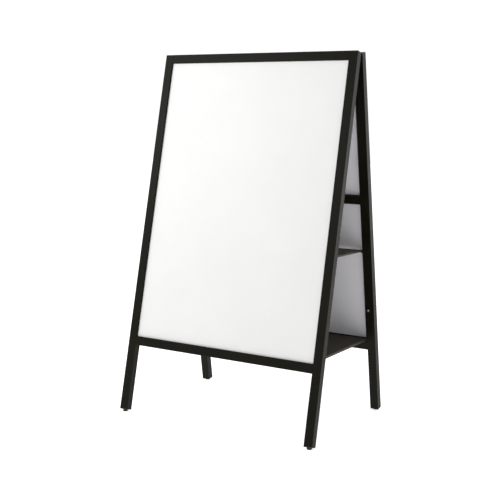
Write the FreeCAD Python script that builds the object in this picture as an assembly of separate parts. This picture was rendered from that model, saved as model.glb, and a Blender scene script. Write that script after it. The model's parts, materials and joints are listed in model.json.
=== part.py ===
"""Folding A-frame poster stand: two hinged frames with white boards and two shelves between them.

Millimetres, +Z up, origin on the floor under the middle of the stand.
The front board faces -Y and +X is to its right.
Each frame is drawn flat first: X across, Y inward from its outer face, Z up along its slope.
"""
import FreeCAD, Part
import math
import os

V = FreeCAD.Vector

# Frame bars
LEAN_DEG = 11.2
FRAME_WIDTH = 765.0
BAR_FACE = 31.0
BAR_DEPTH = 27.0
TUBE_WALL = 1.5
TUBE_CORNER = 1.2
LEG_LENGTH = 228.0
BOARD_OPENING = 996.0
MID_RAIL_RISE = 508.0

# White boards and the ledges that carry them
BOARD_THICKNESS = 3.0
BOARD_RECESS = 6.5
BOARD_PLAY = 0.5
LEDGE_REACH = 10.0
LEDGE_DEPTH = 4.0
LEDGE_WALL = 1.5

# Top hinges
HINGE_SPACING = 480.0
HINGE_LENGTH = 64.0
HINGE_OFFSET = 5.0
HINGE_DROP = 6.0
LEAF_THICKNESS = 2.0
LEAF_HEIGHT = 22.0
KNUCKLE_RADIUS = 4.5
KNUCKLE_GAP = 0.4
KNUCKLE_COUNT = 3
LEAF_OVER_AXIS = 1.8
HINGE_SCREW_SPACING = 41.0
HINGE_PIN_RADIUS = 2.5
PIN_CLEARANCE = 0.05

# End caps and feet
CAP_FLANGE = 3.0
CAP_ROUND = 0.8
PLUG_LENGTH = 22.0
PLUG_PLAY = 0.1
FOOT_RADIUS = 8.5
FOOT_PROJECTION = 9.0
FOOT_FLANGE = 2.5
SOLE_THICKNESS = 3.5
SOLE_ROUND = 1.5

# Screws
SCREW_HEAD_RADIUS = 3.6
SCREW_HEAD_HEIGHT = 2.0
SCREW_HEAD_ROUND = 1.2
SCREW_HEAD_SINK = 1.0
SCREW_SHANK_RADIUS = 1.75
SCREW_LENGTH = 9.0
HOLE_CLEARANCE = 0.05

# Shelves
LOWER_SHELF_LIFT = 2.6
LOWER_SHELF_THICKNESS = 8.0
SHELF_SPACING = 329.0
MID_SHELF_THICKNESS = 6.0
SHELF_SIDE_GAP = 2.5
SHELF_EDGE_ROUND = 1.0
SHELF_SEAT_GAP = 0.3
PIVOT_DEPTH = 21.0
PIVOT_MARGIN = 4.0
PIVOT_PIN_RADIUS = 2.0
PIVOT_PIN_GRIP = 24.0
PIVOT_PIN_REACH = 9.0
BUSH_WALL = 1.5
BUSH_FLANGE_RADIUS = 5.0
BUSH_FLANGE = 1.0
BUSH_LENGTH = 7.0
ANGLE_WIDTH = 16.0
ANGLE_DROP = 20.0
ANGLE_WALL = 2.0
SHELF_FREE_OVERLAP = 1.0
PEG_DEPTH = 22.3
PEG_RADIUS = 2.5
PEG_REACH = 10.0
PEG_GRIP = 8.0
PEG_COLLAR_RADIUS = 4.0
PEG_COLLAR = 1.0
PEG_COVER = 0.5

# Buffers that keep the folded frames apart
BUFFER_OVER_RAIL = 120.5
BUFFER_INSET = 11.0
BUFFER_RADIUS = 6.5
BUFFER_HEIGHT = 4.0

# Derived sizes
LEAN = math.radians(LEAN_DEG)
SIN = math.sin(LEAN)
COS = math.cos(LEAN)
HALF_WIDTH = FRAME_WIDTH / 2
INNER_HALF = HALF_WIDTH - BAR_FACE
BOTTOM_RAIL_TOP = LEG_LENGTH + BAR_FACE
TOP_RAIL_BOTTOM = BOTTOM_RAIL_TOP + BOARD_OPENING
RAIL_TOP = TOP_RAIL_BOTTOM + BAR_FACE
STILE_LENGTH = RAIL_TOP - CAP_FLANGE
BOARD_BACK = BOARD_RECESS + BOARD_THICKNESS
BAR_MIDDLE = BAR_DEPTH / 2
STILE_MIDDLE = HALF_WIDTH - BAR_FACE / 2
# The hinge axis runs along X in the middle plane, just inside the two top rails
AXIS_RISE = RAIL_TOP - HINGE_DROP
AXIS_DEPTH = BAR_DEPTH + HINGE_OFFSET
FOOT_Y = -(AXIS_RISE * SIN + AXIS_DEPTH * COS)
FOOT_Z = FOOT_PROJECTION * COS + BAR_MIDDLE * SIN


def to_front(shape):
    """Tilt a flat-drawn piece into its place on the front frame."""
    placed = shape.copy()
    placed.rotate(V(0, 0, 0), V(1, 0, 0), -LEAN_DEG)
    placed.translate(V(0, FOOT_Y, FOOT_Z))
    return placed


def to_rear(shape):
    """The rear frame is the front one turned half round about the upright axis."""
    placed = to_front(shape)
    placed.rotate(V(0, 0, 0), V(0, 0, 1), 180)
    return placed


def world_y(depth, rise):
    """Distance from the middle plane, of a point of the front frame, as a positive number."""
    return -(FOOT_Y + depth * COS + rise * SIN)


def world_z(depth, rise):
    return FOOT_Z + rise * COS - depth * SIN


def rise_at(depth, z):
    """How far up the slope a point at this depth and height lies."""
    return (z - FOOT_Z + depth * SIN) / COS


def block(x0, x1, y0, y1, z0, z1):
    return Part.makeBox(x1 - x0, y1 - y0, z1 - z0, V(x0, y0, z0))


def rod(radius, length, start, direction):
    return Part.makeCylinder(radius, length, start, direction)


def long_edges(shape, axis):
    """The straight edges that run along one axis."""
    picked = []
    for edge in shape.Edges:
        run = edge.Vertexes[-1].Point - edge.Vertexes[0].Point
        if run.Length > 0 and abs(run.dot(axis)) > 0.999 * run.Length:
            picked.append(edge)
    return picked


def rounded(shape, axis, radius):
    return shape.makeFillet(radius, long_edges(shape, axis))


def tube(x0, x1, y0, y1, z0, z1, axis):
    """A rectangular tube with rounded corners, open at both ends of its axis."""
    outer = rounded(block(x0, x1, y0, y1, z0, z1), axis, TUBE_CORNER)
    inset = V(TUBE_WALL, TUBE_WALL, TUBE_WALL) - axis * (2 * TUBE_WALL)
    inner = block(x0 + inset.x, x1 - inset.x, y0 + inset.y, y1 - inset.y, z0 + inset.z, z1 - inset.z)
    return outer.cut(inner)


ACROSS = V(1, 0, 0)
INWARD = V(0, 1, 0)
UPWARD = V(0, 0, 1)


def group(shapes):
    return Part.makeCompound(shapes)


def screw(head_point, direction):
    """A pan-head screw whose head sits on head_point and whose shank runs along direction."""
    head = rod(SCREW_HEAD_RADIUS, SCREW_HEAD_HEIGHT, head_point, direction * -1)
    rim = [edge for edge in head.Edges if edge.Curve.TypeId == "Part::GeomCircle"]
    outer_rim = max(rim, key=lambda edge: (edge.CenterOfMass - head_point).dot(direction * -1))
    head = head.makeFillet(SCREW_HEAD_ROUND, [outer_rim])
    shank = rod(SCREW_SHANK_RADIUS, SCREW_LENGTH, head_point, direction)
    return head.fuse(shank).removeSplitter()


def screw_hole(head_point, direction):
    return rod(SCREW_SHANK_RADIUS + HOLE_CLEARANCE, SCREW_LENGTH + TUBE_WALL, head_point, direction)


nodes = {}

# Hinge screws: two through each leaf, into the inner wall of the top rail
HINGE_CENTRES = [-HINGE_SPACING / 2, HINGE_SPACING / 2]
LEAF_TOP = AXIS_RISE + LEAF_OVER_AXIS
LEAF_BOTTOM = LEAF_TOP - LEAF_HEIGHT
HINGE_SCREW_RISE = (LEAF_BOTTOM + AXIS_RISE - KNUCKLE_RADIUS) / 2
LEAF_FACE = BAR_DEPTH + LEAF_THICKNESS
# The heads sink into the leaf, so that two facing leaves close without touching
HINGE_HEAD_POINT = LEAF_FACE - SCREW_HEAD_SINK
hinge_screw_points = []
for centre in HINGE_CENTRES:
    for side in (-1, 1):
        place_x = centre + side * HINGE_SCREW_SPACING / 2
        hinge_screw_points.append(V(place_x, HINGE_HEAD_POINT, HINGE_SCREW_RISE))

# Ledge bars round the opening, behind the board
MID_RAIL_BOTTOM = BOTTOM_RAIL_TOP + MID_RAIL_RISE
MID_RAIL_TOP = MID_RAIL_BOTTOM + BAR_FACE


def ledge_angle(x0, x1, z0, z1, keep_x, keep_z):
    """An angle bar: a leg that carries the board and a leg on the inner side of the tube."""
    solid = block(x0, x1, BOARD_BACK, BOARD_BACK + LEDGE_DEPTH, z0, z1)
    hollow = block(x0 + keep_x[0], x1 - keep_x[1], BOARD_BACK + LEDGE_WALL, BOARD_BACK + LEDGE_DEPTH,
                   z0 + keep_z[0], z1 - keep_z[1])
    return solid.cut(hollow)


def make_ledges():
    top = ledge_angle(-INNER_HALF, INNER_HALF, TOP_RAIL_BOTTOM - LEDGE_REACH, TOP_RAIL_BOTTOM,
                      (0, 0), (0, LEDGE_WALL))
    bottom = ledge_angle(-INNER_HALF, INNER_HALF, BOTTOM_RAIL_TOP, BOTTOM_RAIL_TOP + LEDGE_REACH,
                         (0, 0), (LEDGE_WALL, 0))
    pieces = [top, bottom]
    spans = [(BOTTOM_RAIL_TOP + LEDGE_REACH, MID_RAIL_BOTTOM), (MID_RAIL_TOP, TOP_RAIL_BOTTOM - LEDGE_REACH)]
    for low, high in spans:
        pieces.append(ledge_angle(-INNER_HALF, LEDGE_REACH - INNER_HALF, low, high, (LEDGE_WALL, 0), (0, 0)))
        pieces.append(ledge_angle(INNER_HALF - LEDGE_REACH, INNER_HALF, low, high, (0, LEDGE_WALL), (0, 0)))
    return group(pieces)


def make_end_cap(side):
    """A plastic cap with a rounded flange over the top of a stile and a plug inside it."""
    x0 = side * STILE_MIDDLE - BAR_FACE / 2
    flange = block(x0, x0 + BAR_FACE, 0, BAR_DEPTH, STILE_LENGTH, STILE_LENGTH + CAP_FLANGE)
    flange = rounded(flange, UPWARD, TUBE_CORNER)
    top_face = max(flange.Faces, key=lambda face: face.CenterOfMass.z)
    flange = flange.makeFillet(CAP_ROUND, top_face.Edges)
    inset = TUBE_WALL + PLUG_PLAY
    plug = block(x0 + inset, x0 + BAR_FACE - inset, inset, BAR_DEPTH - inset,
                 STILE_LENGTH - PLUG_LENGTH, STILE_LENGTH)
    return flange.fuse(plug).removeSplitter()


def floor_cut(height):
    """Everything below a level plane at this height, drawn in the flat frame's own axes."""
    reach = FRAME_WIDTH
    below = block(-reach, reach, -reach, reach, -reach, height)
    below.translate(V(0, -FOOT_Y, -FOOT_Z))
    below.rotate(V(0, 0, 0), V(1, 0, 0), LEAN_DEG)
    return below


def make_foot(side):
    """A plug in the end of a leg, with a flange and a round stem that reaches down to the sole."""
    x0 = side * STILE_MIDDLE - BAR_FACE / 2
    inset = TUBE_WALL + PLUG_PLAY
    plug = block(x0 + inset, x0 + BAR_FACE - inset, inset, BAR_DEPTH - inset, 0, PLUG_LENGTH)
    flange = rounded(block(x0, x0 + BAR_FACE, 0, BAR_DEPTH, -FOOT_FLANGE, 0), UPWARD, TUBE_CORNER)
    centre = V(side * STILE_MIDDLE, BAR_MIDDLE, -2 * FOOT_PROJECTION)
    stem = rod(FOOT_RADIUS, 2 * FOOT_PROJECTION - FOOT_FLANGE, centre, UPWARD)
    stem = stem.cut(floor_cut(SOLE_THICKNESS))
    return plug.fuse([flange, stem]).removeSplitter()


def make_sole(side):
    """A rubber sole with a level underside and a rounded lower rim."""
    centre = V(side * STILE_MIDDLE, BAR_MIDDLE, -2 * FOOT_PROJECTION)
    stem = rod(FOOT_RADIUS, 2 * FOOT_PROJECTION, centre, UPWARD)
    sole = stem.common(floor_cut(SOLE_THICKNESS)).cut(floor_cut(0))
    underside = min(sole.Faces, key=lambda face: face.CenterOfMass.z)
    return sole.makeFillet(SOLE_ROUND, underside.Edges)


def knuckle_span(centre, index, count):
    """The stretch of one knuckle along the barrel, with a little air at each end."""
    pitch = HINGE_LENGTH / count
    start = centre - HINGE_LENGTH / 2 + index * pitch
    return start + KNUCKLE_GAP / 2, start + pitch - KNUCKLE_GAP / 2


def make_leaf(centre, own):
    """A hinge leaf on the inner face of the top rail, with its own knuckles round the axis."""
    half = HINGE_LENGTH / 2
    leaf = block(centre - half, centre + half, BAR_DEPTH, LEAF_FACE, LEAF_BOTTOM, LEAF_TOP)
    axis_point = V(0, AXIS_DEPTH, AXIS_RISE)
    for index in range(KNUCKLE_COUNT):
        start, end = knuckle_span(centre, index, KNUCKLE_COUNT)
        at = V(start, axis_point.y, axis_point.z)
        if index in own:
            leaf = leaf.fuse(rod(KNUCKLE_RADIUS, end - start, at, ACROSS))
        else:
            room = rod(KNUCKLE_RADIUS + KNUCKLE_GAP, end - start + KNUCKLE_GAP,
                       at - ACROSS * (KNUCKLE_GAP / 2), ACROSS)
            leaf = leaf.cut(room)
    bore_start = axis_point + ACROSS * (centre - half)
    bore = rod(HINGE_PIN_RADIUS + PIN_CLEARANCE, HINGE_LENGTH, bore_start, ACROSS)
    leaf = leaf.cut(bore).removeSplitter()
    for point in hinge_screw_points:
        if abs(point.x - centre) < half:
            leaf = leaf.cut(screw_hole(point, INWARD * -1))
            sink = rod(SCREW_HEAD_RADIUS + HOLE_CLEARANCE, SCREW_HEAD_HEIGHT, point, INWARD)
            leaf = leaf.cut(sink)
    return leaf


# The lower shelf lies just over the bottom rails; the mid shelf is spaced up from it
LOWER_SHELF_UNDERSIDE = world_z(BAR_DEPTH, BOTTOM_RAIL_TOP) + LOWER_SHELF_LIFT
MID_SHELF_UNDERSIDE = LOWER_SHELF_UNDERSIDE + SHELF_SPACING

# Pivots of the shelves, as rises up the slope at the pivots' depth
LOWER_PIVOT_Z = LOWER_SHELF_UNDERSIDE + LOWER_SHELF_THICKNESS / 2
MID_PIVOT_Z = MID_SHELF_UNDERSIDE + MID_SHELF_THICKNESS / 2
LOWER_PIVOT_RISE = rise_at(PIVOT_DEPTH, LOWER_PIVOT_Z)
MID_PIVOT_RISE = rise_at(PIVOT_DEPTH, MID_PIVOT_Z)
BUSH_RADIUS = PIVOT_PIN_RADIUS + PIN_CLEARANCE + BUSH_WALL
PEG_RISE = rise_at(PEG_DEPTH, MID_SHELF_UNDERSIDE - SHELF_SEAT_GAP - PEG_RADIUS)


def make_bush(side, pivot_rise):
    """A flanged plastic bush in the inner wall of a stile."""
    seat = V(side * INNER_HALF, PIVOT_DEPTH, pivot_rise)
    outward = ACROSS * side
    bush = rod(BUSH_RADIUS, BUSH_LENGTH, seat, outward)
    bush = bush.fuse(rod(BUSH_FLANGE_RADIUS, BUSH_FLANGE, seat, outward * -1))
    bore = rod(PIVOT_PIN_RADIUS + PIN_CLEARANCE, BUSH_LENGTH + BUSH_FLANGE,
               seat - outward * BUSH_FLANGE, outward)
    return bush.cut(bore).removeSplitter()


def make_peg(side):
    """A plastic peg with a collar, pushed into the inner wall of a stile to carry the mid shelf."""
    seat = V(side * INNER_HALF, PEG_DEPTH, PEG_RISE)
    outward = ACROSS * side
    peg = rod(PEG_RADIUS, PEG_GRIP + PEG_REACH, seat - outward * PEG_REACH, outward)
    collar = rod(PEG_COLLAR_RADIUS, PEG_COLLAR, seat, outward * -1)
    return peg.fuse(collar).removeSplitter()


def make_stile(side, wall_holes, buffer_holes):
    """A stile tube; wall_holes are (depth, rise, radius) of round holes in its inner wall."""
    x0 = side * STILE_MIDDLE - BAR_FACE / 2
    stile = tube(x0, x0 + BAR_FACE, 0, BAR_DEPTH, 0, STILE_LENGTH, UPWARD)
    for depth, rise, radius in wall_holes:
        seat = V(side * (INNER_HALF - TUBE_WALL), depth, rise)
        stile = stile.cut(rod(radius + HOLE_CLEARANCE, 3 * TUBE_WALL, seat, ACROSS * side))
    for point in buffer_holes:
        if point.x * side > 0:
            stile = stile.cut(screw_hole(point, INWARD * -1))
    return stile


BUFFER_RISE = BOTTOM_RAIL_TOP + BUFFER_OVER_RAIL
BUFFER_SEAT = BAR_DEPTH + BUFFER_HEIGHT - SCREW_HEAD_HEIGHT
buffer_points = [V(side * (INNER_HALF + BUFFER_INSET), BUFFER_SEAT, BUFFER_RISE) for side in (-1, 1)]


def make_buffer(point):
    """A rubber buffer on the inner face of a stile, with its screw head sunk flush."""
    base = V(point.x, BAR_DEPTH, point.z)
    buffer = rod(BUFFER_RADIUS, BUFFER_HEIGHT, base, INWARD)
    buffer = buffer.cut(rod(SCREW_HEAD_RADIUS + HOLE_CLEARANCE, SCREW_HEAD_HEIGHT, point, INWARD))
    return buffer.cut(screw_hole(point, INWARD * -1))


def make_frame(name, place, pivot_rise, own_knuckles, peg_holes, buffer_holes):
    """All the pieces that the two frames have in common."""
    wall_holes = [(PIVOT_DEPTH, pivot_rise, BUSH_RADIUS)] + peg_holes
    for label, side in (("left", -1), ("right", 1)):
        # Left and right are as seen from the front, so the turned rear frame swaps them
        drawn_side = side if place is to_front else -side
        nodes[name + "_" + label + "_stile"] = place(make_stile(drawn_side, wall_holes, buffer_holes))
    top_rail = tube(-INNER_HALF, INNER_HALF, 0, BAR_DEPTH, TOP_RAIL_BOTTOM, RAIL_TOP, ACROSS)
    for point in hinge_screw_points:
        top_rail = top_rail.cut(screw_hole(point, INWARD * -1))
    nodes[name + "_top_rail"] = place(top_rail)
    bottom_rail = tube(-INNER_HALF, INNER_HALF, 0, BAR_DEPTH, LEG_LENGTH, BOTTOM_RAIL_TOP, ACROSS)
    nodes[name + "_bottom_rail"] = place(bottom_rail)
    mid_rail = tube(-INNER_HALF, INNER_HALF, BOARD_BACK, BAR_DEPTH, MID_RAIL_BOTTOM, MID_RAIL_TOP, ACROSS)
    nodes[name + "_mid_rail"] = place(mid_rail)
    board = block(BOARD_PLAY - INNER_HALF, INNER_HALF - BOARD_PLAY, BOARD_RECESS, BOARD_BACK,
                  BOTTOM_RAIL_TOP + BOARD_PLAY, TOP_RAIL_BOTTOM - BOARD_PLAY)
    nodes[name + "_board"] = place(board)
    nodes[name + "_board_ledges"] = place(make_ledges())
    nodes[name + "_end_caps"] = place(group([make_end_cap(-1), make_end_cap(1)]))
    nodes[name + "_feet"] = place(group([make_foot(-1), make_foot(1)]))
    nodes[name + "_foot_soles"] = place(group([make_sole(-1), make_sole(1)]))
    leaves = [make_leaf(centre, own_knuckles) for centre in HINGE_CENTRES]
    nodes[name + "_hinge_leaves"] = place(group(leaves))
    screws = [screw(point, INWARD * -1) for point in hinge_screw_points]
    nodes[name + "_hinge_screws"] = place(group(screws))
    bushes = [make_bush(-1, pivot_rise), make_bush(1, pivot_rise)]
    nodes[name + "_shelf_bushes"] = place(group(bushes))


make_frame("front", to_front, MID_PIVOT_RISE, (0, 2), [], [])
make_frame("rear", to_rear, LOWER_PIVOT_RISE, (1,), [(PEG_DEPTH, PEG_RISE, PEG_RADIUS)], buffer_points)

# Hinge pins, pushed through the knuckles of both leaves
pins = []
for centre in HINGE_CENTRES:
    pin_start = V(centre - HINGE_LENGTH / 2, AXIS_DEPTH, AXIS_RISE)
    pins.append(rod(HINGE_PIN_RADIUS, HINGE_LENGTH, pin_start, ACROSS))
nodes["hinge_pins"] = to_front(group(pins))

# Buffers with their screws, on the rear legs
nodes["buffers"] = to_rear(group([make_buffer(point) for point in buffer_points]))
nodes["buffer_screws"] = to_rear(group([screw(point, INWARD * -1) for point in buffer_points]))

# Shelves lie level between the stiles, each pivoted on one frame and resting on the other
SHELF_HALF = INNER_HALF - SHELF_SIDE_GAP
LOWER_PIVOT_Y = world_y(PIVOT_DEPTH, LOWER_PIVOT_RISE)
MID_PIVOT_Y = world_y(PIVOT_DEPTH, MID_PIVOT_RISE)


def make_shelf(pivot_y, free_y, underside, thickness):
    """A level board with eased edges; both ends are given as places along Y."""
    low, high = min(pivot_y, free_y), max(pivot_y, free_y)
    board = block(-SHELF_HALF, SHELF_HALF, low, high, underside, underside + thickness)
    return rounded(board, ACROSS, SHELF_EDGE_ROUND)


def make_pivot_pins(y, z):
    pins = []
    for side in (-1, 1):
        start = V(side * (SHELF_HALF - PIVOT_PIN_GRIP), y, z)
        length = PIVOT_PIN_GRIP + SHELF_SIDE_GAP + PIVOT_PIN_REACH
        pins.append(rod(PIVOT_PIN_RADIUS, length, start, ACROSS * side))
    return group(pins)


def pin_sockets(board, y, z):
    for side in (-1, 1):
        start = V(side * (SHELF_HALF - PIVOT_PIN_GRIP), y, z)
        socket = rod(PIVOT_PIN_RADIUS + HOLE_CLEARANCE, PIVOT_PIN_GRIP, start, ACROSS * side)
        board = board.cut(socket)
    return board


# The mid shelf is pivoted on the front frame and rests on two pegs in the rear stiles
MID_REST_Y = world_y(PEG_DEPTH, PEG_RISE)
mid_shelf = make_shelf(-MID_PIVOT_Y - PIVOT_MARGIN, MID_REST_Y + PEG_COVER,
                       MID_SHELF_UNDERSIDE, MID_SHELF_THICKNESS)
nodes["mid_shelf"] = pin_sockets(mid_shelf, -MID_PIVOT_Y, MID_PIVOT_Z)
nodes["mid_shelf_pins"] = make_pivot_pins(-MID_PIVOT_Y, MID_PIVOT_Z)

nodes["mid_shelf_pegs"] = to_rear(group([make_peg(-1), make_peg(1)]))

# The lower shelf is pivoted on the rear frame and rests on an angle bar of the front bottom rail
lower_top = LOWER_SHELF_UNDERSIDE - SHELF_SEAT_GAP
LOWER_REST_RISE = rise_at(BAR_DEPTH, lower_top)
LOWER_REST_Y = world_y(BAR_DEPTH, LOWER_REST_RISE)
lower_flat = block(-INNER_HALF, INNER_HALF, -LOWER_REST_Y, ANGLE_WIDTH - LOWER_REST_Y,
                   lower_top - ANGLE_WALL, lower_top)
lower_drop = block(-INNER_HALF, INNER_HALF, BAR_DEPTH, BAR_DEPTH + ANGLE_WALL,
                   BOTTOM_RAIL_TOP - ANGLE_DROP, LOWER_REST_RISE - ANGLE_WALL / 2)
nodes["lower_shelf_angle"] = lower_flat.fuse(to_front(lower_drop)).removeSplitter()
lower_shelf = make_shelf(LOWER_PIVOT_Y + PIVOT_MARGIN, -LOWER_REST_Y - SHELF_FREE_OVERLAP,
                         LOWER_SHELF_UNDERSIDE, LOWER_SHELF_THICKNESS)
nodes["lower_shelf"] = pin_sockets(lower_shelf, LOWER_PIVOT_Y, LOWER_PIVOT_Z)
nodes["lower_shelf_pins"] = make_pivot_pins(LOWER_PIVOT_Y, LOWER_PIVOT_Z)

os.makedirs("parts", exist_ok=True)
for name, shape in nodes.items():
    shape.exportStep("parts/" + name + ".step")
    print(name, len(shape.Solids), "solids", round(shape.Volume / 1000, 1), "cm3", shape.isValid())
axis_z = world_z(AXIS_DEPTH, AXIS_RISE)
print("hinge axis y", round(-world_y(AXIS_DEPTH, AXIS_RISE), 4), "z", round(axis_z, 3))
print("mid pivot y", round(-MID_PIVOT_Y, 3), "z", round(MID_PIVOT_Z, 3))
print("lower pivot y", round(LOWER_PIVOT_Y, 3), "z", round(LOWER_PIVOT_Z, 3))
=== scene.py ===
# %% [markdown]
# # Dressing a folding poster stand
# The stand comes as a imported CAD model: two leaning tube frames with white boards, hinged at the top,
# and two shelves between them. Every size is already right. So this lesson gives the pieces their
# finishes, puts screws with a cross recess in place of the plain ones, sets up a small photo studio and
# places the camera where the photograph was taken.

# %% Load the frame
import bmesh
import bpy
import json
import math
from mathutils import Matrix, Vector


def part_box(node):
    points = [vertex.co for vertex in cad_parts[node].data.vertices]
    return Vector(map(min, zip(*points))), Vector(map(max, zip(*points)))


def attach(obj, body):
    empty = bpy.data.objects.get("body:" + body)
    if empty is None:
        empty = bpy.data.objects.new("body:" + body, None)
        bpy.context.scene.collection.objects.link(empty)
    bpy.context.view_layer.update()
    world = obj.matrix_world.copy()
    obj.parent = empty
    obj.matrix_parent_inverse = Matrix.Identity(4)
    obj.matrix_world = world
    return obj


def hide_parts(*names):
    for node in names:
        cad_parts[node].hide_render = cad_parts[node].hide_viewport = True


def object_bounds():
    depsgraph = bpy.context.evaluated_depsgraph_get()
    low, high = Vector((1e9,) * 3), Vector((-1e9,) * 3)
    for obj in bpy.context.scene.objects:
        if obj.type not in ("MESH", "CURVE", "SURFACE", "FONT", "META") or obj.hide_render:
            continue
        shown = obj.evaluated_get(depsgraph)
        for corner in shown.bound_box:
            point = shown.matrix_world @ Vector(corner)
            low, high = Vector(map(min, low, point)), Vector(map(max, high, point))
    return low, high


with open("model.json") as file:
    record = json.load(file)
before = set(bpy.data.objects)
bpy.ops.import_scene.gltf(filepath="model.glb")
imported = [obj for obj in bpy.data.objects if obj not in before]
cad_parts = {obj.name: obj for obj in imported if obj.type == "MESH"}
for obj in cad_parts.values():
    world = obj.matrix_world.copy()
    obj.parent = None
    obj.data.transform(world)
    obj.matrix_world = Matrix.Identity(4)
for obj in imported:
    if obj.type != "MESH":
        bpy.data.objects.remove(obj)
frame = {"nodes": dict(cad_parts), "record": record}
cad_low, cad_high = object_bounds()
print("CAD box", [round(v, 3) for v in cad_low], [round(v, 3) for v in cad_high])

# %% [markdown]
# ## The camera
# A camera can be set by eye, but then every bar ends up a little off. Here the photograph was measured
# first: the edges of the frame give the lens, the place and the tilt of the camera. The focal length is
# known in pixels of the 500 pixel wide picture, so it is turned into millimetres for a 36 mm wide sensor.
# The picture was cropped a little off the lens's axis, and a small shift stands for that.

# %% Camera
PICTURE_SIZE = 500
SENSOR_WIDTH = 36.0
FOCAL_PIXELS = 941.34
OPTICAL_CENTRE = (256.28, 222.48)
CAMERA_PLACE = Vector((1.6628, -2.8810, 0.9891))
CAMERA_YAW = 0.5242
CAMERA_PITCH = -0.0925
CAMERA_ROLL = 0.0246


def camera_axes(yaw, pitch, roll):
    """The camera's right, up and backward directions."""
    forward = Vector((-math.sin(yaw) * math.cos(pitch), math.cos(yaw) * math.cos(pitch), math.sin(pitch)))
    level = Vector((math.cos(yaw), math.sin(yaw), 0))
    upright = level.cross(forward)
    right = level * math.cos(roll) + upright * math.sin(roll)
    up = upright * math.cos(roll) - level * math.sin(roll)
    return right, up, -forward


def make_camera():
    data = bpy.data.cameras.new("photo_camera")
    data.sensor_fit = "HORIZONTAL"
    data.sensor_width = SENSOR_WIDTH
    data.lens = SENSOR_WIDTH * FOCAL_PIXELS / PICTURE_SIZE
    data.shift_x = (PICTURE_SIZE / 2 - OPTICAL_CENTRE[0]) / PICTURE_SIZE
    data.shift_y = (OPTICAL_CENTRE[1] - PICTURE_SIZE / 2) / PICTURE_SIZE
    camera = bpy.data.objects.new("photo_camera", data)
    turn = Matrix(camera_axes(CAMERA_YAW, CAMERA_PITCH, CAMERA_ROLL)).transposed()
    camera.matrix_world = Matrix.Translation(CAMERA_PLACE) @ turn.to_4x4()
    bpy.context.scene.collection.objects.link(camera)
    bpy.context.scene.camera = camera
    return camera


camera = make_camera()
print("camera lens", round(camera.data.lens, 2), "mm")

# %% [markdown]
# ## A small kit for materials
# Each finish is a node tree: a texture in object space drives colour, roughness and a little bump.
# Object space is used because every piece keeps its real size there, so a grain of 2 mm stays 2 mm.
# A few helpers keep the finishes short. The first ones start a material and make its textures.

# %% Starting a finish


def new_finish(name):
    """An empty material with its shader, ready for textures."""
    material = bpy.data.materials.new(name)
    material.use_nodes = True
    tree = material.node_tree
    shader = tree.nodes["Principled BSDF"]
    place = tree.nodes.new("ShaderNodeTexCoord").outputs["Object"]
    return material, tree, shader, place


def stretched(tree, place, scale):
    """The same coordinates, squeezed or stretched along the three axes."""
    mapping = tree.nodes.new("ShaderNodeMapping")
    mapping.inputs["Scale"].default_value = scale
    tree.links.new(place, mapping.inputs["Vector"])
    return mapping.outputs["Vector"]


def noise(tree, place, scale, detail=4.0, roughness=0.55):
    """A noise with about so many features to the metre as scale says."""
    texture = tree.nodes.new("ShaderNodeTexNoise")
    texture.inputs["Scale"].default_value = scale
    texture.inputs["Detail"].default_value = detail
    texture.inputs["Roughness"].default_value = roughness
    tree.links.new(place, texture.inputs["Vector"])
    return texture.outputs["Fac"]


print("textures ready")

# %% [markdown]
# The next helpers turn a texture's value into what the shader needs: a colour, a roughness or a bump.
# Nearly all of a noise lies between 0.3 and 0.7, so that is where a finish's two tones are put.

# %% Using a texture
NOISE_LOW = 0.3
NOISE_HIGH = 0.7


def ramp(tree, value, stops):
    """A colour for each value between the stops, which are (position, colour) pairs."""
    node = tree.nodes.new("ShaderNodeValToRGB")
    node.color_ramp.elements[0].position, node.color_ramp.elements[0].color = stops[0]
    node.color_ramp.elements[1].position, node.color_ramp.elements[1].color = stops[-1]
    for position, colour in stops[1:-1]:
        node.color_ramp.elements.new(position).color = colour
    tree.links.new(value, node.inputs["Fac"])
    return node.outputs["Color"]


def two_tone(tree, value, dark, light):
    """A ramp from dark to light over the range that a noise fills."""
    return ramp(tree, value, [(NOISE_LOW, dark), (NOISE_HIGH, light)])


def spread(tree, value, low, high):
    """Maps a value from 0..1 to low..high, for roughness and the like."""
    node = tree.nodes.new("ShaderNodeMapRange")
    node.inputs["To Min"].default_value = low
    node.inputs["To Max"].default_value = high
    tree.links.new(value, node.inputs["Value"])
    return node.outputs["Result"]


def emboss(tree, shader, value, strength, depth):
    """A bump from a texture value; depth is the height of the bumps in metres."""
    node = tree.nodes.new("ShaderNodeBump")
    node.inputs["Strength"].default_value = strength
    node.inputs["Distance"].default_value = depth
    tree.links.new(value, node.inputs["Height"])
    tree.links.new(node.outputs["Normal"], shader.inputs["Normal"])


def mix_colours(tree, amount, below, above):
    """The colour below, with the colour above laid over it by amount."""
    node = tree.nodes.new("ShaderNodeMix")
    node.data_type = "RGBA"
    tree.links.new(amount, node.inputs["Factor"])
    sockets = [socket for socket in node.inputs if socket.type == "RGBA"]
    for socket, colour in zip(sockets, (below, above)):
        if isinstance(colour, tuple):
            socket.default_value = colour
        else:
            tree.links.new(colour, socket)
    return [socket for socket in node.outputs if socket.type == "RGBA"][0]


def grey(level, warmth=0.0):
    """A colour near grey; warmth lifts red and lowers blue."""
    return (level * (1 + warmth), level, level * (1 - warmth), 1.0)


print("tones from", NOISE_LOW, "to", NOISE_HIGH)

# %% [markdown]
# ## Rubbed edges
# A stand that is carried and folded gets its paint rubbed thin along the corners. That could be painted
# on by hand, edge by edge. A bevel node finds the edges by itself: it looks a little way round each
# point, and where its averaged normal leaves the true one, the point lies on an edge. A noise breaks
# that line up, so that only some stretches are rubbed.

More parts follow.
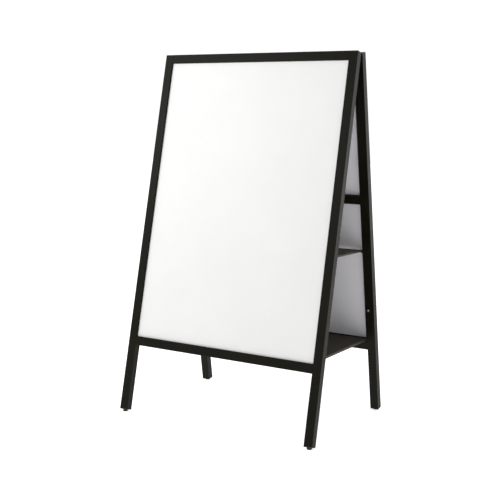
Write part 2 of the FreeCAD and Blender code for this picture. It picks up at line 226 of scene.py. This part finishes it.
# %% Edge finder
EDGE_REACH = 0.0014
EDGE_SAMPLES = 4
FLAT_LIKENESS = 0.99
EDGE_LIKENESS = 0.85
PATCH_SCALE = 35.0
PATCH_BEGINS = 0.45
PATCH_FULL = 0.70


def edge_mask(tree):
    """From 0 on flat faces to 1 on the edges."""
    around = tree.nodes.new("ShaderNodeBevel")
    around.samples = EDGE_SAMPLES
    around.inputs["Radius"].default_value = EDGE_REACH
    alike = tree.nodes.new("ShaderNodeVectorMath")
    alike.operation = "DOT_PRODUCT"
    tree.links.new(around.outputs["Normal"], alike.inputs[0])
    tree.links.new(tree.nodes.new("ShaderNodeNewGeometry").outputs["True Normal"], alike.inputs[1])
    edge = tree.nodes.new("ShaderNodeMapRange")
    edge.inputs["From Min"].default_value = FLAT_LIKENESS
    edge.inputs["From Max"].default_value = EDGE_LIKENESS
    tree.links.new(alike.outputs["Value"], edge.inputs["Value"])
    return edge.outputs["Result"]


def rubbed_edges(tree, place, amount):
    """From 0 on flat faces to amount on the worn stretches of the edges."""
    patches = tree.nodes.new("ShaderNodeMapRange")
    patches.inputs["From Min"].default_value = PATCH_BEGINS
    patches.inputs["From Max"].default_value = PATCH_FULL
    patches.inputs["To Max"].default_value = amount
    worn = noise(tree, place, PATCH_SCALE, detail=6.0, roughness=0.7)
    tree.links.new(worn, patches.inputs["Value"])
    both = tree.nodes.new("ShaderNodeMath")
    both.operation = "MULTIPLY"
    tree.links.new(edge_mask(tree), both.inputs[0])
    tree.links.new(patches.outputs["Result"], both.inputs[1])
    return both.outputs["Value"]


print("edges reach", EDGE_REACH * 1000, "mm")

# %% [markdown]
# ## Powder-coated tube
# The bars are thin steel tube with a satin, slightly brown black powder coat. Such a coat has a fine
# orange-peel skin. It is far too fine to model, so it is a bump, about a millimetre across and at most
# 0.2 mm high. Handling leaves slow changes in gloss, which a second, large noise gives to the roughness.
# A low specular level keeps the faces dark in a white room.

# %% Frame paint
COAT_DARK = (0.0035, 0.0033, 0.0010, 1.0)
COAT_LIGHT = (0.0061, 0.0052, 0.0014, 1.0)
COAT_CLOUD_SCALE = 9.0
COAT_ROUGHNESS = (0.40, 0.54)
COAT_SPECULAR = 0.12
RUBBED_PAINT = (0.030, 0.028, 0.022, 1.0)
RUBBED_AMOUNT = 0.6
PEEL_SCALE = 900.0
PEEL_STRENGTH = 0.45
PEEL_HEIGHT = 0.0002


def frame_paint():
    material, tree, shader, place = new_finish("frame_paint")
    cloud = noise(tree, place, COAT_CLOUD_SCALE)
    peel = noise(tree, place, PEEL_SCALE, detail=2.0)
    coat = two_tone(tree, cloud, COAT_DARK, COAT_LIGHT)
    colour = mix_colours(tree, rubbed_edges(tree, place, RUBBED_AMOUNT), coat, RUBBED_PAINT)
    tree.links.new(colour, shader.inputs["Base Color"])
    tree.links.new(spread(tree, cloud, *COAT_ROUGHNESS), shader.inputs["Roughness"])
    emboss(tree, shader, peel, PEEL_STRENGTH, PEEL_HEIGHT)
    shader.inputs["Specular IOR Level"].default_value = COAT_SPECULAR
    return material


finishes = {"frame_paint": frame_paint()}
print("finishes", sorted(finishes))

# %% [markdown]
# ## Front and back of a board
# The boards have a white face outside. The inside of each board is given its own white, lighter and cooler
# than the face:
# painted light that stands in for the light the shaded inside of the stand lacks, with the cool tint of
# that shade.
# Two materials on one mesh would need its faces sorted by hand. A mask in one material does it without
# touching the
# mesh: a point is on the back where its normal looks towards the middle plane of the stand, Y = 0, so the
# product of the two Y values is negative there.

# %% Finding the back


def on_the_back(tree):
    """1 where the surface looks towards the middle plane of the stand, 0 elsewhere."""
    where = tree.nodes.new("ShaderNodeTexCoord")
    product = tree.nodes.new("ShaderNodeVectorMath")
    product.operation = "MULTIPLY"
    tree.links.new(where.outputs["Object"], product.inputs[0])
    tree.links.new(where.outputs["Normal"], product.inputs[1])
    axes = tree.nodes.new("ShaderNodeSeparateXYZ")
    tree.links.new(product.outputs["Vector"], axes.inputs["Vector"])
    back = tree.nodes.new("ShaderNodeMath")
    back.operation = "LESS_THAN"
    back.inputs[1].default_value = 0.0
    tree.links.new(axes.outputs["Y"], back.inputs[0])
    return back.outputs["Value"]


# %% [markdown]
# ## The white board
# The face is smooth and silky. There is almost no pattern to see, so the finish is mostly a clean white,
# with a faint cloudiness and a very light skin that breaks up the reflection of the lamps.

# %% Board face
FACE_LIGHT = (0.870, 0.872, 0.853, 1.0)
FACE_DARK = (0.845, 0.848, 0.829, 1.0)
# The back's two tones are lighter and cooler than the face's: painted light for the shaded inside of the
# stand.
BACK_PAINTED_LIGHT_HIGH = (0.950, 0.938, 0.967, 1.0)
BACK_PAINTED_LIGHT_LOW = (0.925, 0.913, 0.942, 1.0)
BOARD_CLOUD_SCALE = 5.0
BOARD_ROUGHNESS = (0.42, 0.52)
BOARD_SPECULAR = 0.4
SKIN_SCALE = 1400.0
SKIN_STRENGTH = 0.10
SKIN_HEIGHT = 0.0001


def board_face():
    material, tree, shader, place = new_finish("white_board")
    cloud = noise(tree, place, BOARD_CLOUD_SCALE, detail=3.0)
    skin = noise(tree, place, SKIN_SCALE, detail=1.0)
    face = two_tone(tree, cloud, FACE_DARK, FACE_LIGHT)
    # The back gets the lighter, cooler white: painted light standing in for the shade inside the stand.
    back_with_painted_light = two_tone(tree, cloud, BACK_PAINTED_LIGHT_LOW, BACK_PAINTED_LIGHT_HIGH)
    tree.links.new(mix_colours(tree, on_the_back(tree), face, back_with_painted_light), shader.inputs["Base Color"])
    tree.links.new(spread(tree, skin, *BOARD_ROUGHNESS), shader.inputs["Roughness"])
    emboss(tree, shader, skin, SKIN_STRENGTH, SKIN_HEIGHT)
    shader.inputs["Specular IOR Level"].default_value = BOARD_SPECULAR
    return material


finishes["white_board"] = board_face()
print("finishes", sorted(finishes))

# %% [markdown]
# ## Raw ends of the shelves
# The shelves are thin boards, and their cut ends show as a lighter, olive brown line. As with the boards'
# backs, a mask saves a second material. The raw ends are found by where a point lies: at the two ends
# along X, whose place the frame gives.

# %% Finding the raw ends
RAW_EDGE_DEPTH = 0.0006


def raw_edge(tree, place):
    """1 on the two cut ends of a shelf, 0 elsewhere."""
    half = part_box("lower_shelf")[1].x
    axes = tree.nodes.new("ShaderNodeSeparateXYZ")
    tree.links.new(place, axes.inputs["Vector"])
    away = tree.nodes.new("ShaderNodeMath")
    away.operation = "ABSOLUTE"
    tree.links.new(axes.outputs["X"], away.inputs[0])
    edge = tree.nodes.new("ShaderNodeMath")
    edge.operation = "GREATER_THAN"
    edge.inputs[1].default_value = half - RAW_EDGE_DEPTH
    tree.links.new(away.outputs["Value"], edge.inputs[0])
    return edge.outputs["Value"]


# %% [markdown]
# ## Stained shelf boards
# The faces are stained a dark brown. The grain runs across the stand, along X. A wave texture would give
# stripes that are too even, so it is a noise, stretched that way. A finer one, stretched even more,
# presses the pores into the surface.

# %% Shelf board
GRAIN_STRETCH = (4.0, 140.0, 140.0)
PORE_STRETCH = (30.0, 900.0, 900.0)
PORE_STRENGTH = 0.4
PORE_DEPTH = 0.0002
STAIN = [
    (0.28, (0.0160, 0.0128, 0.0052, 1.0)),
    (0.52, (0.0345, 0.0280, 0.0115, 1.0)),
    (0.74, (0.0580, 0.0470, 0.0200, 1.0)),
]
RAW_DARK = (0.026, 0.022, 0.013, 1.0)
RAW_LIGHT = (0.048, 0.040, 0.024, 1.0)
SHELF_ROUGHNESS = (0.48, 0.66)
SHELF_SPECULAR = 0.20


def shelf_board():
    material, tree, shader, place = new_finish("shelf_board")
    grain = noise(tree, stretched(tree, place, GRAIN_STRETCH), 1.0, detail=7.0, roughness=0.7)
    pores = noise(tree, stretched(tree, place, PORE_STRETCH), 1.0, detail=2.0)
    stain = ramp(tree, grain, STAIN)
    raw = two_tone(tree, grain, RAW_DARK, RAW_LIGHT)
    tree.links.new(mix_colours(tree, raw_edge(tree, place), stain, raw), shader.inputs["Base Color"])
    tree.links.new(spread(tree, grain, *SHELF_ROUGHNESS), shader.inputs["Roughness"])
    emboss(tree, shader, pores, PORE_STRENGTH, PORE_DEPTH)
    shader.inputs["Specular IOR Level"].default_value = SHELF_SPECULAR
    return material


finishes["shelf_board"] = shelf_board()
print("finishes", sorted(finishes))

# %% [markdown]
# ## Caps and feet
# Moulded black plastic has a fine spark-eroded grain and a dull sheen. A plain black would look like a
# hole in the picture, so one noise gives the grain and one the slow change of tone.

# %% Moulded plastic
PLASTIC_DARK = grey(0.010)
PLASTIC_LIGHT = grey(0.016)
PLASTIC_TONE_SCALE = 40.0
PLASTIC_ROUGHNESS = (0.45, 0.62)
MOULD_GRAIN_SCALE = 1800.0
MOULD_GRAIN_STRENGTH = 0.3
MOULD_GRAIN_HEIGHT = 0.0001


def moulded_black():
    material, tree, shader, place = new_finish("black_plastic")
    tone = noise(tree, place, PLASTIC_TONE_SCALE)
    grain = noise(tree, place, MOULD_GRAIN_SCALE, detail=2.0)
    tree.links.new(two_tone(tree, tone, PLASTIC_DARK, PLASTIC_LIGHT), shader.inputs["Base Color"])
    tree.links.new(spread(tree, grain, *PLASTIC_ROUGHNESS), shader.inputs["Roughness"])
    emboss(tree, shader, grain, MOULD_GRAIN_STRENGTH, MOULD_GRAIN_HEIGHT)
    return material


finishes["black_plastic"] = moulded_black()
print("finishes", sorted(finishes))

# %% [markdown]
# ## Soles and buffers
# Rubber is darker and rougher than the plastic, with a dusty bloom. It is made in the same way, with the
# bloom's noise driving both colour and roughness, because dusty places are lighter and duller at once.

# %% Rubber
BLOOM = [(0.35, grey(0.008)), (0.75, grey(0.020, 0.03))]
BLOOM_SCALE = 60.0
RUBBER_ROUGHNESS = (0.72, 0.90)
RUBBER_GRAIN_SCALE = 1200.0
RUBBER_GRAIN_STRENGTH = 0.35
RUBBER_GRAIN_HEIGHT = 0.0002


def sole_rubber():
    material, tree, shader, place = new_finish("rubber")
    bloom = noise(tree, place, BLOOM_SCALE, detail=5.0)
    grain = noise(tree, place, RUBBER_GRAIN_SCALE)
    tree.links.new(ramp(tree, bloom, BLOOM), shader.inputs["Base Color"])
    tree.links.new(spread(tree, bloom, *RUBBER_ROUGHNESS), shader.inputs["Roughness"])
    emboss(tree, shader, grain, RUBBER_GRAIN_STRENGTH, RUBBER_GRAIN_HEIGHT)
    return material


finishes["rubber"] = sole_rubber()
print("finishes", sorted(finishes))

# %% [markdown]
# ## Bright fittings
# Screws, pins and hinge leaves are zinc plated: a bright metal with a cloudy passivated skin. The clouds
# show more in the gloss than in the colour, so one noise drives both, over a wide range of roughness.

# %% Zinc plate
ZINC_DARK = (0.74, 0.77, 0.79, 1.0)
ZINC_LIGHT = (0.86, 0.88, 0.88, 1.0)
ZINC_CLOUD_SCALE = 220.0
ZINC_ROUGHNESS = (0.22, 0.38)
ZINC_SKIN_SCALE = 2500.0
ZINC_SKIN_STRENGTH = 0.08
ZINC_SKIN_HEIGHT = 0.0001


def zinc_plate():
    material, tree, shader, place = new_finish("zinc_steel")
    cloud = noise(tree, place, ZINC_CLOUD_SCALE, detail=5.0)
    skin = noise(tree, place, ZINC_SKIN_SCALE)
    tree.links.new(two_tone(tree, cloud, ZINC_DARK, ZINC_LIGHT), shader.inputs["Base Color"])
    tree.links.new(spread(tree, cloud, *ZINC_ROUGHNESS), shader.inputs["Roughness"])
    emboss(tree, shader, skin, ZINC_SKIN_STRENGTH, ZINC_SKIN_HEIGHT)
    shader.inputs["Metallic"].default_value = 1.0
    return material


finishes["zinc_steel"] = zinc_plate()
print("finishes", sorted(finishes))

# %% [markdown]
# ## Dark ledges
# The small ledges behind the boards are dark anodised: a metal with a dull dark colour and fine drawn
# lines. The lines are one noise, squeezed along Y, and they drive colour, roughness and bump together.

# %% Dark anodised metal
ANODISED_DARK = grey(0.030)
ANODISED_LIGHT = grey(0.046)
ANODISED_ROUGHNESS = (0.35, 0.50)
DRAWN_STRETCH = (6.0, 1500.0, 6.0)
DRAWN_STRENGTH = 0.1
DRAWN_DEPTH = 0.0001


def dark_anodised():
    material, tree, shader, place = new_finish("ledge_metal")
    lines = noise(tree, stretched(tree, place, DRAWN_STRETCH), 1.0, detail=3.0)
    tree.links.new(two_tone(tree, lines, ANODISED_DARK, ANODISED_LIGHT), shader.inputs["Base Color"])
    tree.links.new(spread(tree, lines, *ANODISED_ROUGHNESS), shader.inputs["Roughness"])
    emboss(tree, shader, lines, DRAWN_STRENGTH, DRAWN_DEPTH)
    shader.inputs["Metallic"].default_value = 1.0
    return material


finishes["ledge_metal"] = dark_anodised()
print("finishes", sorted(finishes))

# %% [markdown]
# ## Dressing the CAD pieces
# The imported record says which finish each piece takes. The CAD meshes stay as they are and only their
# material slot changes.

# %% Assign the finishes
for piece in frame["record"]["subparts"]:
    mesh = frame["nodes"][piece["node"]].data
    mesh.materials.clear()
    mesh.materials.append(finishes[piece["material_slot"]])

# %% [markdown]
# ## The body of a screw
# The CAD screws are plain pans. A real one has a domed head, a shank and a point. It could be put
# together from cylinders, but a screw is a turned part, so it is made like one: half of its outline is
# spun round the axis. The head's outline is kept in shares of its radius and height, because the hinge
# screws and the buffer screws may differ in size.

# %% Turning a screw
HEAD_HEIGHT = 0.0020
HEAD_OUTLINE = [(0.0, 1.0), (0.50, 1.0), (0.78, 0.86), (0.95, 0.55), (1.0, 0.2), (1.0, 0.0)]
SHANK_RADIUS = 0.00175
SHANK_LENGTH = 0.0090
SHANK_STRAIGHT = 0.8
TURN_STEPS = 48
WELD = 5e-6


def screw_profile(head_radius):
    """Half of the screw's outline, from the middle of the head's top down to the tip."""
    head = [(head_radius * across, HEAD_HEIGHT * up) for across, up in HEAD_OUTLINE]
    shank = [(SHANK_RADIUS, 0.0), (SHANK_RADIUS, -SHANK_LENGTH * SHANK_STRAIGHT), (0.0, -SHANK_LENGTH)]
    return head + shank


def turned(profile):
    """A closed mesh from a profile of (radius, height) points turned round Z."""
    form = bmesh.new()
    points = [form.verts.new((radius, 0, height)) for radius, height in profile]
    edges = [form.edges.new(pair) for pair in zip(points, points[1:])]
    bmesh.ops.spin(form, geom=points + edges, cent=(0, 0, 0), axis=(0, 0, 1), angle=math.tau,
                   steps=TURN_STEPS, use_duplicate=False)
    bmesh.ops.remove_doubles(form, verts=form.verts, dist=WELD)
    bmesh.ops.recalc_face_normals(form, faces=form.faces)
    return form


print("screw length", round((HEAD_HEIGHT + SHANK_LENGTH) * 1000, 1), "mm")

# %% [markdown]
# ## The cross recess
# The driver fits into a cross in the head. A bump would not show it from the side, so it is really cut,
# with a boolean. Two crossed blocks as the cutter would leave loose edges where they pass through each
# other. One plus-shaped bar, drawn as an outline and pulled upwards, cuts cleanly.

# %% Cutter for the recess
RECESS_WIDTH = 0.0009
RECESS_DEPTH = 0.0011
RECESS_REACH = 1.1


def cross_cutter(reach):
    """A plus-shaped bar that reaches down into the head."""
    half, arm = RECESS_WIDTH / 2, reach / 2
    corner = [(half, half), (half, arm), (-half, arm)]
    outline = []
    for quarter in range(4):
        turn = Matrix.Rotation(quarter * math.pi / 2, 2)
        outline += [turn @ Vector(point) for point in corner]
    form = bmesh.new()
    bottom = [form.verts.new((point.x, point.y, HEAD_HEIGHT - RECESS_DEPTH)) for point in outline]
    base = form.faces.new(bottom)
    pulled = bmesh.ops.extrude_face_region(form, geom=[base])["geom"]
    raised = [item for item in pulled if isinstance(item, bmesh.types.BMVert)]
    bmesh.ops.translate(form, vec=(0, 0, 2 * RECESS_DEPTH), verts=raised)
    bmesh.ops.recalc_face_normals(form, faces=form.faces)
    return form


print("recess", RECESS_WIDTH * 1000, "mm wide and", RECESS_DEPTH * 1000, "mm deep")

# %% [markdown]
# Blank and cutter become objects for a moment, because a boolean is a modifier. The cut mesh is read
# from the finished blank, and both helpers are then thrown away. Blender may number the points of a new
# form differently in each run, so they are sorted by place when the form becomes an object.

# %% One cross-recess screw
ORDER_DIGITS = 7


def to_object(form, name):
    """An object from a form, with its points and faces put in one fixed order, the same in every run."""
    points = sorted(form.verts, key=lambda vertex: tuple(round(v, ORDER_DIGITS) for v in vertex.co))
    number = {vertex: index for index, vertex in enumerate(points)}
    faces = []
    for face in form.faces:
        round_it = [number[vertex] for vertex in face.verts]
        first = round_it.index(min(round_it))
        faces.append(round_it[first:] + round_it[:first])
    mesh = bpy.data.meshes.new(name)
    mesh.from_pydata([vertex.co.copy() for vertex in points], [], sorted(faces))
    form.free()
    piece = bpy.data.objects.new(name, mesh)
    bpy.context.scene.collection.objects.link(piece)
    return piece


def cross_screw(head_radius):
    """The mesh of one screw with its recess, its seat at the origin and its head along +Z."""
    blank = to_object(turned(screw_profile(head_radius)), "screw_blank")
    cutter = to_object(cross_cutter(head_radius * RECESS_REACH), "screw_cutter")
    cut = blank.modifiers.new("recess", "BOOLEAN")
    cut.object = cutter
    cut.operation = "DIFFERENCE"
    ready = blank.evaluated_get(bpy.context.evaluated_depsgraph_get())
    mesh = bpy.data.meshes.new_from_object(ready)
    bpy.data.objects.remove(blank)
    bpy.data.objects.remove(cutter)
    return mesh


print("a cross spans", round(RECESS_REACH / 2 * 100), "per cent of its head")

# %% [markdown]
# ## Where the screws sit
# The places could be typed in, but the frame already knows them. The CAD mesh of a screw node holds all
# its screws. Seen along X they lie well apart, so sorting the points by X and splitting at the gaps gives
# one bunch for each screw. The board's largest face gives the direction in which the heads look.

# %% Finding the screws
ACROSS = Vector((1, 0, 0))
SCREW_GAP = 0.005


def inward_direction(board, sign):
    """The normal of a board's face that looks into the stand."""
    faces = [face for face in frame["nodes"][board].data.polygons if face.normal.y * sign > 0]
    return max(faces, key=lambda face: face.area).normal.copy()


def bunches(node):
    """The points of each screw of a node, sorted by X."""
    points = sorted((vertex.co.copy() for vertex in frame["nodes"][node].data.vertices), key=lambda p: p.x)
    groups = [[points[0]]]
    for point in points[1:]:
        if point.x - groups[-1][-1].x > SCREW_GAP:
            groups.append([])
        groups[-1].append(point)
    return groups


def screw_place(points, inward):
    """Where a screw's seat lies and how it turns, with the head along inward."""
    upward = inward.cross(ACROSS)
    rise = [point.dot(upward) for point in points]
    top = max(point.dot(inward) for point in points)
    seat = (ACROSS * (points[0].x + points[-1].x) / 2 + upward * (min(rise) + max(rise)) / 2
            + inward * (top - HEAD_HEIGHT))
    return Matrix.Translation(seat) @ Matrix((ACROSS, upward, inward)).transposed().to_4x4()


front_inward = inward_direction("front_board", 1)
rear_inward = inward_direction("rear_board", -1)
print("heads look along", [round(v, 3) for v in front_inward], [round(v, 3) for v in rear_inward])

# %% [markdown]
# ## Placing the screws
# One screw is made for each node and copied to every bunch. All the copies of a node form one piece,
# which rides on the frame that holds it and takes the place of the CAD node.

# %% Screws in place


def place_screws(node, body, inward):
    groups = bunches(node)
    one = cross_screw((groups[0][-1].x - groups[0][0].x) / 2)
    form = bmesh.new()
    for points in groups:
        before = len(form.verts)
        form.from_mesh(one)
        form.verts.ensure_lookup_table()
        bmesh.ops.transform(form, matrix=screw_place(points, inward), verts=form.verts[before:])
    bmesh.ops.remove_doubles(form, verts=form.verts, dist=WELD)
    piece = to_object(form, node + "_crossed")
    piece.data.materials.append(finishes["zinc_steel"])
    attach(piece, body)
    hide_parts(node)
    return len(groups)


screw_count = place_screws("front_hinge_screws", "front_frame", front_inward)
screw_count += place_screws("rear_hinge_screws", "rear_frame", rear_inward)
screw_count += place_screws("buffer_screws", "rear_frame", rear_inward)
print("screws", screw_count)

# %% [markdown]
# ## The studio floor
# The photograph is a cut-out on pure white. A white floor that glows a little does the same job here: it
# stays white even in the stand's own shade, so the stand seems to float on the page.

# %% Floor
FLOOR_SIZE = 60.0
FLOOR_GLOW = 0.75
FLOOR_DARK = grey(0.92)
FLOOR_LIGHT = grey(0.95)
FLOOR_CLOUD_SCALE = 2.0
FLOOR_ROUGHNESS = 0.95
FLOOR_SPECULAR = 0.1
WHITE = (1.0, 1.0, 1.0, 1.0)


def floor_finish():
    material, tree, shader, place = new_finish("studio_floor")
    cloud = noise(tree, place, FLOOR_CLOUD_SCALE)
    tree.links.new(two_tone(tree, cloud, FLOOR_DARK, FLOOR_LIGHT), shader.inputs["Base Color"])
    shader.inputs["Roughness"].default_value = FLOOR_ROUGHNESS
    shader.inputs["Specular IOR Level"].default_value = FLOOR_SPECULAR
    shader.inputs["Emission Color"].default_value = WHITE
    shader.inputs["Emission Strength"].default_value = FLOOR_GLOW
    return material


def make_floor():
    half = FLOOR_SIZE / 2
    mesh = bpy.data.meshes.new("studio_floor")
    corners = [(-half, -half, 0), (half, -half, 0), (half, half, 0), (-half, half, 0)]
    mesh.from_pydata(corners, [], [(0, 1, 2, 3)])
    mesh.materials.append(floor_finish())
    floor = bpy.data.objects.new("studio_floor", mesh)
    bpy.context.scene.collection.objects.link(floor)


make_floor()
print("floor", FLOOR_SIZE, "m wide")

# %% [markdown]
# ## The sky
# Behind the stand the sky is a white backdrop. On the camera's side the room is dimmer, and that is what
# keeps the satin black bars black: their faces reflect the dim side of the room, while the side faces
# that look towards the backdrop come out a tone lighter. Only the light of the room is dimmer there. Seen
# directly, the backdrop is white all round, so the stand stands on a white page from every side.

# %% Sky
WHITE_PAGE = 1.05
BACKDROP = 0.86
ROOM = 0.30
BACKDROP_SIDE = (-0.5, 0.866, 0.0)
ROOM_ENDS = -0.6
BACKDROP_BEGINS = 0.40


def light_of_the_room(tree):
    """How bright the sky is in each direction, from the dim room to the backdrop."""
    facing = tree.nodes.new("ShaderNodeVectorMath")
    facing.operation = "DOT_PRODUCT"
    facing.inputs[1].default_value = BACKDROP_SIDE
    tree.links.new(tree.nodes.new("ShaderNodeTexCoord").outputs["Generated"], facing.inputs[0])
    fade = tree.nodes.new("ShaderNodeMapRange")
    fade.inputs["From Min"].default_value = ROOM_ENDS
    fade.inputs["From Max"].default_value = BACKDROP_BEGINS
    fade.inputs["To Min"].default_value = ROOM
    fade.inputs["To Max"].default_value = BACKDROP
    tree.links.new(facing.outputs["Value"], fade.inputs["Value"])
    return fade.outputs["Result"]


def make_sky():
    world = bpy.data.worlds.new("studio_sky")
    world.use_nodes = True
    tree = world.node_tree
    background = tree.nodes["Background"]
    seen = tree.nodes.new("ShaderNodeMix")
    tree.links.new(tree.nodes.new("ShaderNodeLightPath").outputs["Is Camera Ray"], seen.inputs["Factor"])
    tree.links.new(light_of_the_room(tree), seen.inputs["A"])
    seen.inputs["B"].default_value = WHITE_PAGE
    tree.links.new(seen.outputs["Result"], background.inputs["Strength"])
    background.inputs["Color"].default_value = WHITE
    bpy.context.scene.world = world


make_sky()
print("sky from", ROOM, "to", BACKDROP)

# %% [markdown]
# ## The lamps
# The sky alone would light the board evenly. One soft lamp stands high on the left, near enough for its
# light to fall off across the board, so the upper left is the brightest place and the right edge the
# greyest. A second one, low behind the right side, gives the narrow side faces of the bars their lighter
# tone. Neither shows in the picture itself. The plain display transform keeps white at white.

# %% Lamps
STAND_MIDDLE = (cad_low + cad_high) / 2
KEY_PLACE = (-1.3, -1.75, 1.75)
KEY_TARGET = (-0.2, -0.1, 0.8)
KEY_SIZE = 0.9
KEY_POWER = 18.4
RIM_PLACE = (2.1, 3.2, 1.0)
RIM_SIZE = 1.5
RIM_POWER = 16.0


def make_lamp(name, place, target, size, power):
    data = bpy.data.lights.new(name, "AREA")
    data.shape = "SQUARE"
    data.size = size
    data.energy = power
    lamp = bpy.data.objects.new(name, data)
    lamp.location = place
    aim = Vector(target) - Vector(place)
    lamp.rotation_euler = aim.to_track_quat("-Z", "Y").to_euler()
    lamp.visible_camera = False
    bpy.context.scene.collection.objects.link(lamp)


make_lamp("key_lamp", KEY_PLACE, KEY_TARGET, KEY_SIZE, KEY_POWER)
make_lamp("rim_lamp", RIM_PLACE, STAND_MIDDLE, RIM_SIZE, RIM_POWER)
bpy.context.scene.view_settings.view_transform = "Standard"
print("lamps", len(bpy.data.lights))
